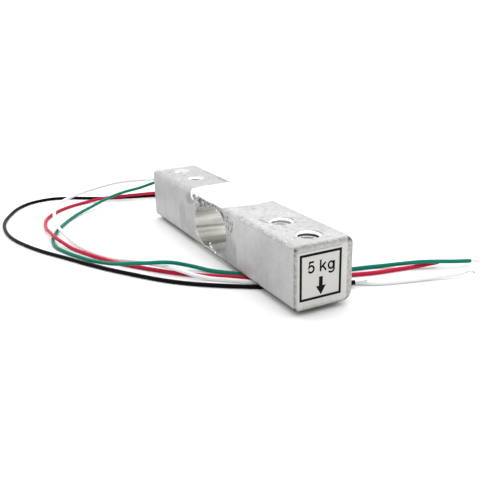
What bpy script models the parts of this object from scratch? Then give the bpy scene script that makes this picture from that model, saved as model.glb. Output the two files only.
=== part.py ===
"""Straight bar load cell, 5 kg class, 75 mm long, with four free lead wires.

Frame: the origin is the centre of the fixed end's lower mounting face, midway
between its two tapped holes.  +X runs along the bar to the load end, +Z is up.
The bar's lower face is at z = 0.  All lengths below are in metres.

The lead wires leave a silicone bead on the bar's +Y side, curl round the fixed
end, and pass under the bar, which lies on top of them.
"""
import bpy
import bmesh
import math
from mathutils import Matrix, Vector

for old in list(bpy.data.objects):
    bpy.data.objects.remove(old, do_unlink=True)

MM = 0.001

# ------------------------------------------------------------ driving sizes
BAR_LENGTH = 75.0 * MM          # end to end
BAR_SIDE = 12.7 * MM            # half inch square section
EDGE_NEG = 1.0 * MM             # radius of both long edges on the -Y side
EDGE_POS_TOP = 0.5 * MM         # upper long edge on the +Y side, nearly sharp
EDGE_POS_LOW = 2.0 * MM         # lower long edge on the +Y side
CORNER_WORN = 1.2 * MM          # that upper edge where it meets the load end
END_EDGE = 0.35 * MM            # broken edges round the two end faces

END_TO_HOLE = 5.5 * MM          # at both ends
FIXED_HOLES = (-5.0 * MM, 5.0 * MM)     # x of the two M4 tapped holes
LOAD_HOLES = (49.0 * MM, 59.0 * MM)     # x of the two M5 tapped holes
M4_BORE = 4.0 * MM              # thread major diameter; the thread is a finish
M5_BORE = 5.0 * MM
HOLE_CHAMFER = 0.10 * MM        # 45 degree countersink at each mouth

EYE_X = 27.0 * MM               # middle of the two-circle opening
EYE_PITCH = 6.6 * MM            # distance between the two circles' centres
EYE_DIAMETER = 11.0 * MM        # leaves webs of 0.85 mm above and below
EYE_CHAMFER = 0.15 * MM

GLUE_GAP = 0.05 * MM            # under glued foil, strips and the label
SEAL_GAP = 0.10 * MM            # between silicone and metal
FREE_GAP = 0.30 * MM            # between a lead and what it meets

SEAL_TOP_HEIGHT = 1.00 * MM     # above the bar's upper face
SEAL_BOTTOM_HEIGHT = 0.80 * MM  # below the bar's lower face
BEAD_X = (8.1 * MM, 17.7 * MM)
BEAD_PROUD = 1.50 * MM          # beyond the +Y face
STRAP_X0 = 15.0 * MM            # the bead wraps over both edges past this x

WIRE_D = 0.90 * MM              # over the insulation
CORE_D = 0.36 * MM              # tinned strands
LEAD_GAP_UNDER = 0.10 * MM      # bar to the wires that it lies on
WIRE_Z = -(LEAD_GAP_UNDER + WIRE_D / 2)     # axis of a wire that lies flat

LABEL_SIZE = 10.0 * MM
LABEL_THICK = 0.12 * MM
LABEL_Y = -1.0 * MM
LABEL_Z = 6.60 * MM

X_FAR = FIXED_HOLES[0] - END_TO_HOLE
X_NEAR = X_FAR + BAR_LENGTH
HALF = BAR_SIDE / 2
# Silicone outlines and lead routes are written in millimetres, with x measured
# from a point 10 mm inside the fixed end; this is that point in the frame.
DATUM_X = X_FAR + 10.0 * MM

# ------------------------------------------------------------ helpers


def material(name, colour, roughness, metallic=0.0):
    mat = bpy.data.materials.new(name)
    mat.use_nodes = True
    shader = mat.node_tree.nodes["Principled BSDF"]
    shader.inputs["Base Color"].default_value = (*colour, 1.0)
    shader.inputs["Roughness"].default_value = roughness
    shader.inputs["Metallic"].default_value = metallic
    return mat


def add_object(name, bm, mat, smooth_angle=35.0):
    mesh = bpy.data.meshes.new(name)
    bmesh.ops.recalc_face_normals(bm, faces=bm.faces)
    bm.to_mesh(mesh)
    bm.free()
    obj = bpy.data.objects.new(name, mesh)
    bpy.context.scene.collection.objects.link(obj)
    if mat is not None:
        mesh.materials.append(mat)
        mesh.shade_smooth()
        mesh.set_sharp_from_angle(angle=math.radians(smooth_angle))
    return obj


def cutter(name, bm):
    obj = add_object(name, bm, None)
    obj.hide_render = True
    obj.display_type = "WIRE"
    return obj


def boolean(obj, tool, operation="DIFFERENCE"):
    mod = obj.modifiers.new(operation.title() + "_" + tool.name, "BOOLEAN")
    mod.operation = operation
    mod.object = tool
    mod.solver = "EXACT"


def prism(points, direction):
    """Close a flat ring of points and push it along direction."""
    bm = bmesh.new()
    face = bm.faces.new([bm.verts.new(p) for p in points])
    grown = bmesh.ops.extrude_face_region(bm, geom=[face])["geom"]
    bmesh.ops.translate(bm, vec=direction,
                        verts=[v for v in grown if isinstance(v, bmesh.types.BMVert)])
    return bm


def box(lo, hi):
    return prism([(lo[0], lo[1], lo[2]), (hi[0], lo[1], lo[2]),
                  (hi[0], hi[1], lo[2]), (lo[0], hi[1], lo[2])],
                 Vector((0, 0, hi[2] - lo[2])))


def loft(rings):
    """Skin equal rings of points into one closed body."""
    bm = bmesh.new()
    rows = [[bm.verts.new(p) for p in ring] for ring in rings]
    count = len(rows[0])
    for a, b in zip(rows, rows[1:]):
        for i in range(count):
            j = (i + 1) % count
            bm.faces.new((a[i], a[j], b[j], b[i]))
    bm.faces.new(rows[0])
    bm.faces.new(list(reversed(rows[-1])))
    return bm


def turned(profile, x, segments):
    """Lathe (radius, z) pairs round the vertical line through (x, 0)."""
    rings = []
    for radius, z in profile:
        rings.append([(x + radius * math.cos(2 * math.pi * i / segments),
                       radius * math.sin(2 * math.pi * i / segments), z)
                      for i in range(segments)])
    return loft(rings)


def bar_section(offset=0.0, steps=6, top_pos=EDGE_POS_TOP):
    """Rounded square of the bar in Y and Z, grown outwards by offset."""
    corners = ((HALF, BAR_SIDE, top_pos, 0), (-HALF, BAR_SIDE, EDGE_NEG, 90),
               (-HALF, 0.0, EDGE_NEG, 180), (HALF, 0.0, EDGE_POS_LOW, 270))
    points = []
    for y, z, radius, start in corners:
        cy = y - math.copysign(radius, y)
        cz = z - radius if z > HALF else z + radius
        for i in range(steps + 1):
            a = math.radians(start + 90.0 * i / steps)
            points.append((cy + (radius + offset) * math.cos(a),
                           cz + (radius + offset) * math.sin(a)))
    return points


def bar_solid(x0, x1, offset=0.0, edge=0.0):
    """The bar's section pushed along X, with broken end edges."""
    rings = []
    r, worn = EDGE_POS_TOP, CORNER_WORN
    if edge > 0:
        stations = [(x0, -edge, r), (x0 + 0.3 * edge, -0.3 * edge, r), (x0 + edge, 0.0, r),
                    (x1 - 2.2 * MM, 0.0, r), (x1 - 1.2 * MM, 0.0, 0.7 * r + 0.3 * worn),
                    (x1 - edge, 0.0, worn), (x1 - 0.3 * edge, -0.3 * edge, worn), (x1, -edge, worn)]
    else:
        stations = [(x0, 0.0, r), (x1, 0.0, r)]
    for x, grow, top_pos in stations:
        rings.append([(x, y, z) for y, z in bar_section(offset + grow, 6, top_pos)])
    return loft(rings)


def eye_outline(grow, per_arc=22):
    """Two overlapping circles, as one closed outline in X and Z."""
    radius = EYE_DIAMETER / 2 + grow
    half = EYE_PITCH / 2
    cusp = math.acos(half / radius)
    points = []
    for side, start in ((1, -(math.pi - cusp)), (-1, cusp)):
        sweep = 2 * (math.pi - cusp)
        for i in range(per_arc):
            a = start + sweep * i / per_arc
            points.append((EYE_X + side * half + radius * math.cos(a),
                           HALF + radius * math.sin(a)))
    return points


def smooth_route(points, spacing, lowest):
    """Points at an even spacing along one smooth curve through the route, none
    of them below the height of a wire that lies flat."""
    pts = [Vector(p) * MM + Vector((DATUM_X, 0.0, 0.0)) for p in points]
    pts = [pts[0] * 2 - pts[1]] + pts + [pts[-1] * 2 - pts[-2]]
    dense = []
    for p0, p1, p2, p3 in zip(pts, pts[1:], pts[2:], pts[3:]):
        t0 = 0.0
        t1 = t0 + max((p1 - p0).length, 1e-9) ** 0.5
        t2 = t1 + max((p2 - p1).length, 1e-9) ** 0.5
        t3 = t2 + max((p3 - p2).length, 1e-9) ** 0.5
        for i in range(24):
            t = t1 + (t2 - t1) * i / 24
            a1 = p0 * ((t1 - t) / (t1 - t0)) + p1 * ((t - t0) / (t1 - t0))
            a2 = p1 * ((t2 - t) / (t2 - t1)) + p2 * ((t - t1) / (t2 - t1))
            a3 = p2 * ((t3 - t) / (t3 - t2)) + p3 * ((t - t2) / (t3 - t2))
            b1 = a1 * ((t2 - t) / (t2 - t0)) + a2 * ((t - t0) / (t2 - t0))
            b2 = a2 * ((t3 - t) / (t3 - t1)) + a3 * ((t - t1) / (t3 - t1))
            dense.append(b1 * ((t2 - t) / (t2 - t1)) + b2 * ((t - t1) / (t2 - t1)))
    dense.append(pts[-2].copy())
    run = [0.0]
    for a, b in zip(dense, dense[1:]):
        run.append(run[-1] + (b - a).length)
    count = max(4, round(run[-1] / spacing))
    out, k = [], 0
    for i in range(count + 1):
        s = run[-1] * i / count
        while k < len(run) - 2 and run[k + 1] < s:
            k += 1
        f = (s - run[k]) / max(run[k + 1] - run[k], 1e-12)
        p = dense[k].lerp(dense[k + 1], min(max(f, 0.0), 1.0))
        p.z = max(p.z, lowest)
        out.append(p)
    return out


def tube(name, points, diameter, mat):
    data = bpy.data.curves.new(name, "CURVE")
    data.dimensions = "3D"
    data.bevel_depth = diameter / 2
    data.bevel_resolution = 2
    data.use_fill_caps = True
    spline = data.splines.new("POLY")
    spline.points.add(len(points) - 1)
    for slot, p in zip(spline.points, points):
        slot.co = (p[0], p[1], p[2], 1.0)
    data.materials.append(mat)
    obj = bpy.data.objects.new(name, data)
    bpy.context.scene.collection.objects.link(obj)
    return obj


# ------------------------------------------------------------ materials
ALUMINIUM = material("aluminium", (0.66, 0.66, 0.67), 0.42, 1.0)
SILICONE = material("silicone_white", (0.90, 0.90, 0.89), 0.35)
FOIL = material("gauge_foil", (0.72, 0.45, 0.20), 0.40, 0.3)
BOARD = material("terminal_board", (0.20, 0.36, 0.20), 0.50)
ENAMEL = material("enamel_wire", (0.55, 0.22, 0.08), 0.35)
PVC = {"green": material("pvc_green", (0.01, 0.30, 0.18), 0.40),
       "red": material("pvc_red", (0.55, 0.02, 0.06), 0.40),
       "white": material("pvc_white", (0.88, 0.88, 0.88), 0.40),
       "black": material("pvc_black", (0.01, 0.01, 0.01), 0.40)}
TINNED = material("tinned_copper", (0.72, 0.70, 0.68), 0.35, 1.0)
PAPER = material("label_paper", (0.66, 0.66, 0.64), 0.55)

# ------------------------------------------------------------ the bar
beam = add_object("beam_body", bar_solid(X_FAR, X_NEAR, 0.0, END_EDGE), ALUMINIUM, 25.0)

over = 1.0 * MM
# The flare stays inside the thin webs: it only breaks the opening's edge.
eye_rings = []
for y, grow in ((-HALF - over, EYE_CHAMFER), (-HALF, EYE_CHAMFER),
                (-HALF + EYE_CHAMFER, 0.0), (HALF - EYE_CHAMFER, 0.0),
                (HALF, EYE_CHAMFER), (HALF + over, EYE_CHAMFER)):
    eye_rings.append([(x, y, z) for x, z in eye_outline(grow)])
boolean(beam, cutter("cut_eye", loft(eye_rings)))

for label, xs, bore in (("m4", FIXED_HOLES, M4_BORE), ("m5", LOAD_HOLES, M5_BORE)):
    for number, x in enumerate(xs, 1):
        r, c = bore / 2, HOLE_CHAMFER
        profile = [(r + c, -over), (r + c, 0.0), (r, c), (r, BAR_SIDE - c),
                   (r + c, BAR_SIDE), (r + c, BAR_SIDE + over)]
        boolean(beam, cutter("cut_%s_%d" % (label, number), turned(profile, x, 40)))

# ------------------------------------------------------------ silicone coats


def coat(name, outline, z_low, z_high):
    """A domed silicone patch: outline in mm, from z_low to z_high."""
    cx = sum(p[0] for p in outline) / len(outline)
    cy = sum(p[1] for p in outline) / len(outline)
    rings = []
    for inset, share in ((0.0, 0.0), (0.0, 0.62), (0.22, 0.84), (0.62, 0.96), (1.3, 1.0)):
        ring = []
        for x, y in outline:
            dx, dy = x - cx, y - cy
            ring.append(((cx + dx - math.copysign(min(inset, abs(dx)), dx)) * MM + DATUM_X,
                         (cy + dy - math.copysign(min(inset, abs(dy)), dy)) * MM,
                         z_low + (z_high - z_low) * share))
        rings.append(ring)
    return add_object(name, loft(rings), SILICONE, 40.0)


def pocket(name, x, y, size, z0, z1):
    return cutter(name, box((x - size[0] / 2, y - size[1] / 2, min(z0, z1)),
                            (x + size[0] / 2, y + size[1] / 2, max(z0, z1))))


GAUGE_X = (EYE_X - EYE_PITCH / 2, EYE_X + EYE_PITCH / 2)    # over the thin webs
GAUGE_SIZE = (5.4 * MM, 3.2 * MM)
TERMINAL_X, TERMINAL_Y = 16.5 * MM, 0.4 * MM
TERMINAL_SIZE = (2.2 * MM, 5.0 * MM)
POCKET_ROOM = 0.3 * MM

bar_skin = cutter("cut_bar_skin", bar_solid(X_FAR - over, X_NEAR + over, SEAL_GAP))

# The upper coat ends at the +Y edge; its corner by the bead is notched, because
# the bead's strap crosses the edge there.
top_outline = [(15.9, -6.1), (22.0, -6.2), (29.0, -6.2), (34.6, -6.1), (35.6, -4.2),
               (36.2, -1.4), (36.3, 1.6), (35.9, 4.4), (35.2, 6.4), (28.0, 6.4),
               (18.6, 6.4), (18.6, 3.1), (15.2, 3.1), (14.9, 0.0), (15.2, -3.4)]
top = coat("sealant_top", top_outline, 11.9 * MM, BAR_SIDE + SEAL_TOP_HEIGHT)
bottom_outline = [(16.4, -5.0), (26.0, -5.1), (34.6, -5.0), (35.4, -3.0), (35.6, 0.0),
                  (35.3, 2.6), (34.8, 4.1), (26.0, 4.2), (18.6, 4.1), (18.6, 3.1),
                  (15.9, 3.1), (15.7, 0.0), (15.9, -3.0)]
bottom = coat("sealant_bottom", bottom_outline, -SEAL_GAP, -SEAL_BOTTOM_HEIGHT)

boolean(top, bar_skin)
for side, obj, face, up in (("top", top, BAR_SIDE, 1), ("bottom", bottom, 0.0, -1)):
    room = POCKET_ROOM * 2
    boolean(obj, pocket("cut_terminal_" + side, TERMINAL_X, TERMINAL_Y + 0.1 * MM,
                        (TERMINAL_SIZE[0] + room, TERMINAL_SIZE[1] + room),
                        face - up * 0.5 * MM, face + up * 0.58 * MM))
    for number, x in enumerate(GAUGE_X, 1):
        boolean(obj, pocket("cut_gauge_%s_%d" % (side, number), x, 0.0,
                            (GAUGE_SIZE[0] + room, GAUGE_SIZE[1] + room),
                            face - up * 0.5 * MM, face + up * 0.42 * MM))

# The strain-relief bead on the +Y face, with a strap that wraps over both edges.
y_in, y_out = HALF - 0.5 * MM, HALF + BEAD_PROUD


def bead_ring(x, grow):
    """Rounded outline of the bead in Y and Z at one station."""
    zc, half_z = 6.2 * MM, 4.6 * MM + grow
    points = []
    for sy, sz, start in ((1, 1, 0), (-1, 1, 90), (-1, -1, 180), (1, -1, 270)):
        r = 0.7 * MM
        oy = (y_out + grow - r) if sy > 0 else (y_in + r)
        oz = zc + sz * (half_z - r)
        for i in range(5):
            a = math.radians(start + 90 * i / 4)
            points.append((x, oy + r * math.cos(a), oz + r * math.sin(a)))
    return points


bead = add_object("sealant_bead",
                  loft([bead_ring(BEAD_X[0], -0.35 * MM), bead_ring(BEAD_X[0] + 0.15 * MM, -0.1 * MM),
                        bead_ring(BEAD_X[0] + 0.5 * MM, 0.0), bead_ring(BEAD_X[1] - 0.5 * MM, 0.0),
                        bead_ring(BEAD_X[1] - 0.15 * MM, -0.1 * MM), bead_ring(BEAD_X[1], -0.35 * MM)]),
                  SILICONE, 40.0)


def strap_section(x, inset):
    """The strap's outer outline in Y and Z: a rounded square round the bar's +Y side."""
    lo = -(SEAL_BOTTOM_HEIGHT - inset)
    hi = BAR_SIDE + SEAL_TOP_HEIGHT - inset
    out = y_out - 0.1 * MM - inset
    r = 2.4 * MM
    points = [(x, 3.4 * MM, lo), (x, 3.4 * MM, hi)]
    for oz, start in ((hi - r, 90), (lo + r, 0)):
        for i in range(7):
            a = math.radians(start - 90 * i / 6)
            points.append((x, out - r + r * math.cos(a), oz + r * math.sin(a)))
    return points


strap = cutter("add_strap", loft([strap_section(STRAP_X0, 0.3 * MM),
                                  strap_section(STRAP_X0 + 0.3 * MM, 0.0),
                                  strap_section(BEAD_X[1] - 0.3 * MM, 0.0),
                                  strap_section(BEAD_X[1], 0.3 * MM)]))
boolean(bead, strap, "UNION")
boolean(bead, bar_skin)
boolean(bead, cutter("cut_jumper_channel", bar_solid(15.5 * MM, 17.2 * MM, 0.62 * MM)))

# ------------------------------------------------------------ gauges and wiring


def foil_gauge(name, x, face, up):
    """A thin backing with its raised grid and two solder tabs."""
    z0 = face + up * GLUE_GAP
    sx, sy = GAUGE_SIZE
    obj = add_object(name, box((x - sx / 2, -sy / 2, min(z0, z0 + up * 0.08 * MM)),
                               (x + sx / 2, sy / 2, max(z0, z0 + up * 0.08 * MM))), FOIL)
    raised = (("grid", -0.5, 0.0, 3.4, 2.2, 0.12), ("tab_a", 2.05, 0.75, 0.9, 1.0, 0.16),
              ("tab_b", 2.05, -0.75, 0.9, 1.0, 0.16))
    for label, dx, dy, wx, wy, high in raised:
        a, b = z0 + up * 0.04 * MM, z0 + up * high * MM
        tool = cutter("add_%s_%s" % (name, label),
                      box((x + (dx - wx / 2) * MM, (dy - wy / 2) * MM, min(a, b)),
                          (x + (dx + wx / 2) * MM, (dy + wy / 2) * MM, max(a, b))))
        boolean(obj, tool, "UNION")
    return obj


def terminal_strip(name, face, up):
    """A small board with four solder pads in a row."""
    z0 = face + up * GLUE_GAP
    sx, sy = TERMINAL_SIZE
    obj = add_object(name, box((TERMINAL_X - sx / 2, TERMINAL_Y - sy / 2, min(z0, z0 + up * 0.16 * MM)),
                               (TERMINAL_X + sx / 2, TERMINAL_Y + sy / 2, max(z0, z0 + up * 0.16 * MM))),
                     BOARD)
    for i in range(4):
        y = TERMINAL_Y + (i - 1.5) * 1.2 * MM
        profile = [(0.42 * MM, z0 + up * 0.10 * MM), (0.42 * MM, z0 + up * 0.20 * MM),
                   (0.34 * MM, z0 + up * 0.30 * MM), (0.18 * MM, z0 + up * 0.36 * MM)]
        blob = turned(profile, TERMINAL_X, 14)
        bmesh.ops.translate(blob, vec=Vector((0, y, 0)), verts=blob.verts)
        boolean(obj, cutter("add_%s_pad_%d" % (name, i + 1), blob), "UNION")
    return obj


for label, face, up in (("top", BAR_SIDE, 1), ("bottom", 0.0, -1)):
    foil_gauge("strain_gauge_%s_fixed_side" % label, GAUGE_X[0], face, up)
    foil_gauge("strain_gauge_%s_load_side" % label, GAUGE_X[1], face, up)
    terminal_strip("solder_terminal_%s" % label, face, up)

# Two fine wires follow the bar's skin round the +Y side inside the strap.
JUMPER_D = 0.28 * MM
JUMPER_OFF = 0.36 * MM
upper = [(3.3 * MM, BAR_SIDE + JUMPER_OFF)] + list(reversed(bar_section(JUMPER_OFF)[:7]))
lower = list(reversed(bar_section(JUMPER_OFF)[21:])) + [(3.3 * MM, -JUMPER_OFF)]
for name, x in (("jumper_wire_a", 16.0 * MM), ("jumper_wire_b", 16.7 * MM)):
    tube(name, [(x, y, z) for y, z in upper + lower], JUMPER_D, ENAMEL)

# ------------------------------------------------------------ the label
r = 0.35 * MM
half = LABEL_SIZE / 2
ring = []
for sy, sz, start in ((1, 1, 0), (-1, 1, 90), (-1, -1, 180), (1, -1, 270)):
    for i in range(5):
        a = math.radians(start + 90 * i / 4)
        ring.append((X_NEAR + GLUE_GAP, LABEL_Y + sy * (half - r) + r * math.cos(a),
                     LABEL_Z + sz * (half - r) + r * math.sin(a)))
add_object("rating_label", prism(ring, Vector((LABEL_THICK, 0, 0))), PAPER)

# ------------------------------------------------------------ lead wires
F = WIRE_Z / MM
EXIT_X = (BEAD_X[0] - FREE_GAP - DATUM_X) / MM
EXIT_Y = 7.1

# Routes in millimetres, from the bead to the end of the insulation.  Points at
# height F lie flat; higher ones bridge a wire that passes below.
ROUTES = {
    "white": [(EXIT_X, EXIT_Y, 9.4), (4.0, 7.2, 9.35), (-3.5, 8.0, 8.9), (-12.0, 9.3, 8.0),
              (-19.8, 8.2, 7.0), (-25.5, 4.2, 6.1), (-30.7, -0.6, 5.2), (-36.0, -5.3, 4.3),
              (-39.1, -10.4, 3.4), (-39.9, -16.0, 2.4), (-39.2, -22.0, 1.4), (-36.3, -26.8, 0.8),
              (-32.7, -29.5, 0.55), (-26.1, -31.6, 0.5), (-17.5, -33.2, 0.5), (-12.5, -33.7, 0.55),
              (-7.0, -33.6, 0.4), (-1.3, -32.9, -0.1), (5.4, -31.6, F), (11.5, -29.9, F),
              (17.0, -27.5, F), (21.0, -25.2, -0.2), (24.6, -23.3, 0.4), (27.4, -21.8, 0.5),
              (30.1, -20.0, 0.5), (33.2, -18.1, 0.5), (36.4, -16.5, 0.4), (38.4, -15.0, 0.0),
              (40.6, -12.3, -0.5), (44.2, -8.2, F), (46.8, -5.4, F), (49.3, -2.0, F),
              (51.6, 1.8, F), (53.8, 5.8, F), (55.8, 9.6, F), (58.0, 12.9, F), (60.5, 16.6, F),
              (62.4, 22.4, F), (64.2, 28.6, -0.4), (66.0, 34.6, -0.1)],
    "green": [(EXIT_X, EXIT_Y, 7.2), (4.0, 7.2, 7.2), (-3.5, 8.3, 7.0), (-12.0, 10.3, 6.5),
              (-20.8, 10.8, 5.7), (-28.0, 7.6, 4.7), (-31.8, 2.0, 3.8), (-31.8, -3.7, 2.7),
              (-32.4, -9.2, 1.8), (-30.4, -14.8, 1.1), (-27.2, -20.4, 0.2), (-22.4, -26.4, -0.4),
              (-14.8, -31.8, F), (-8.8, -34.8, F), (-3.4, -36.6, F), (2.2, -37.0, F),
              (8.6, -35.2, F), (15.0, -32.5, F), (22.2, -29.3, 0.2), (26.0, -27.3, 0.95),
              (28.9, -25.2, 1.6), (31.0, -22.8, 1.9), (31.9, -20.2, 1.85), (32.2, -17.6, 1.35),
              (32.6, -15.1, 0.55), (33.8, -12.8, -0.1), (36.0, -10.9, -0.45), (38.4, -8.7, F),
              (41.4, -5.7, F), (44.1, -1.8, F), (46.4, 2.6, F), (48.4, 7.3, F),
              (50.0, 12.0, F), (51.4, 16.8, F), (52.9, 22.4, F), (55.6, 27.2, 0.05),
              (57.8, 29.8, 0.62), (59.6, 32.5, 0.8), (61.0, 37.0, 0.4), (61.8, 40.8, 0.05)],
    "red": [(EXIT_X, EXIT_Y, 5.0), (4.0, 7.2, 4.95), (-3.5, 8.0, 4.3), (-12.0, 9.4, 3.1),
            (-20.0, 8.6, 2.1), (-26.0, 5.2, 1.4), (-29.8, 0.0, 0.9), (-32.8, -7.0, 0.45),
            (-35.4, -14.4, 0.05), (-35.8, -19.0, -0.4), (-34.6, -23.2, F), (-32.0, -27.6, F),
            (-28.0, -31.6, F), (-23.4, -34.4, F), (-18.0, -35.8, F), (-12.4, -36.4, -0.1),
            (-8.0, -36.5, 0.45), (-4.6, -36.4, 0.55), (-1.2, -36.0, 0.5), (1.9, -35.1, 0.1),
            (4.8, -34.0, -0.4), (9.1, -32.4, F), (14.8, -30.0, F), (21.2, -26.8, F),
            (26.5, -23.2, F), (30.5, -20.2, F), (33.6, -17.7, F), (36.4, -14.9, F),
            (38.9, -11.9, F), (41.2, -9.1, F), (43.6, -6.0, F), (46.0, -2.5, F),
            (48.3, 1.4, F), (50.3, 5.5, F), (52.3, 10.0, F), (54.0, 14.6, F),
            (55.5, 19.3, F), (56.4, 24.4, F), (57.3, 29.2, -0.5), (59.0, 34.1, 0.1)],
    "black": [(EXIT_X, EXIT_Y, 2.8), (4.0, 7.2, 2.7), (-3.5, 7.9, 1.6), (-12.0, 9.0, 0.3),
              (-20.0, 8.8, -0.4), (-26.5, 6.4, F), (-31.6, 1.6, F), (-34.6, -6.0, F),
              (-37.0, -12.6, F), (-40.0, -17.7, F), (-43.6, -23.0, F), (-45.8, -29.2, F),
              (-44.3, -35.2, F), (-39.9, -39.6, F), (-33.3, -43.0, F), (-26.2, -45.4, F),
              (-18.8, -46.2, F), (-11.4, -45.7, F), (-3.6, -43.6, F), (4.2, -40.4, F),
              (11.2, -36.7, F), (18.0, -33.2, F), (24.1, -29.7, F), (29.6, -26.1, F),
              (35.2, -22.2, F), (40.4, -17.6, F), (44.5, -12.8, F), (47.3, -9.0, F),
              (49.8, -5.3, F), (52.1, -1.3, F), (54.0, 2.6, F), (55.8, 6.4, F),
              (57.2, 9.0, -0.4), (58.7, 11.9, 0.05)],
}
# Stripped ends: steps in millimetres from the end of the insulation.
TIPS = {
    "white": [(0.10, 0.28, 0.02), (0.45, 0.62, 0.35), (0.95, 0.95, 0.62), (1.35, 1.30, 0.45),
              (1.45, 1.55, 0.02)],
    "green": [(0.12, 0.28, -0.02), (0.35, 0.80, -0.06), (0.62, 1.35, -0.14), (0.95, 1.85, -0.14)],
    "red": [(0.10, 0.30, 0.0), (0.28, 1.0, 0.0), (0.50, 1.7, -0.04), (0.78, 2.4, -0.05)],
    "black": [(0.13, 0.27, 0.04), (0.42, 1.0, 0.10), (0.66, 1.75, 0.14), (0.95, 2.5, 0.16)],
}
for colour, route in ROUTES.items():
    tube("lead_" + colour, smooth_route(route, 3.05 * MM, WIRE_Z), WIRE_D, PVC[colour])
    end = Vector(route[-1])
    tip = [end + Vector(step) for step in TIPS[colour]]
    tube("bare_end_" + colour, smooth_route(tip, 0.45 * MM, WIRE_Z - 0.2 * MM), CORE_D, TINNED)
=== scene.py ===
import math
import random

import bmesh
import bpy
from mathutils import Matrix, Vector, noise


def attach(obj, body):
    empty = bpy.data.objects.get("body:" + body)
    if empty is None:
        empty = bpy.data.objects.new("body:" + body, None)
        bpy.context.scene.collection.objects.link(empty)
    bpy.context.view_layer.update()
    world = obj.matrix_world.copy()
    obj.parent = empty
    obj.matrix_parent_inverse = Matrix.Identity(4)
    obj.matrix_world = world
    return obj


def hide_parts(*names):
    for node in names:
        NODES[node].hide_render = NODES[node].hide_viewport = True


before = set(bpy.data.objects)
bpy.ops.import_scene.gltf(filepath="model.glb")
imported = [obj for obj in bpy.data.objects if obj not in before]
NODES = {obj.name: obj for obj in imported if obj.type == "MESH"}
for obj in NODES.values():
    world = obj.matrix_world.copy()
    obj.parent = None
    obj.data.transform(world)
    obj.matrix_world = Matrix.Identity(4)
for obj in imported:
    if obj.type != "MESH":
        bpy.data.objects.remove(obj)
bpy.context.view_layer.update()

# The row frame: origin midway between the two holes of the fixed end, on the
# bar's lower face; +X to the load end, +Z up.  Everything is in metres.
MM = 0.001

BAR_SIDE = 12.7 * MM
HALF = BAR_SIDE / 2
R_NEG, R_TOP, R_LOW = 1.0 * MM, 0.5 * MM, 2.0 * MM      # long edges: -Y side, +Y upper, +Y lower
# Places along the bar are written from a point 10 mm inside its fixed end.
DATUM = Vector((-0.5 * MM, 0.0, 0.0))
EYE_X, EYE_PITCH, EYE_R = 27.5, 6.6, 5.5        # millimetres from that point
FLOOR_Z = -1.003 * MM

# ------------------------------------------------------------------ camera
AZ, EL, ROLL, FOCAL_PX = 0.4688212, 0.3379243, -0.0252247, 620.107
back = Vector((math.cos(EL) * math.cos(AZ), -math.cos(EL) * math.sin(AZ), math.sin(EL)))
side = (-back).cross(Vector((0, 0, 1))).normalized()
rise = side.cross(-back)
right = side * math.cos(ROLL) + rise * math.sin(ROLL)
up = rise * math.cos(ROLL) - side * math.sin(ROLL)
camera_data = bpy.data.cameras.new("camera")
camera_data.sensor_fit = "HORIZONTAL"
camera_data.sensor_width = 36.0
camera_data.lens = 36.0 * FOCAL_PX / 488.0
camera_data.clip_start = 0.005
camera_data.clip_end = 20.0
camera = bpy.data.objects.new("camera", camera_data)
bpy.context.scene.collection.objects.link(camera)
camera.matrix_world = Matrix((
    (right.x, up.x, back.x, 0.152293),
    (right.y, up.y, back.y, -0.060984),
    (right.z, up.z, back.z, 0.049971),
    (0, 0, 0, 1)))
bpy.context.scene.camera = camera

# ------------------------------------------------------------------ node helper


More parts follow.
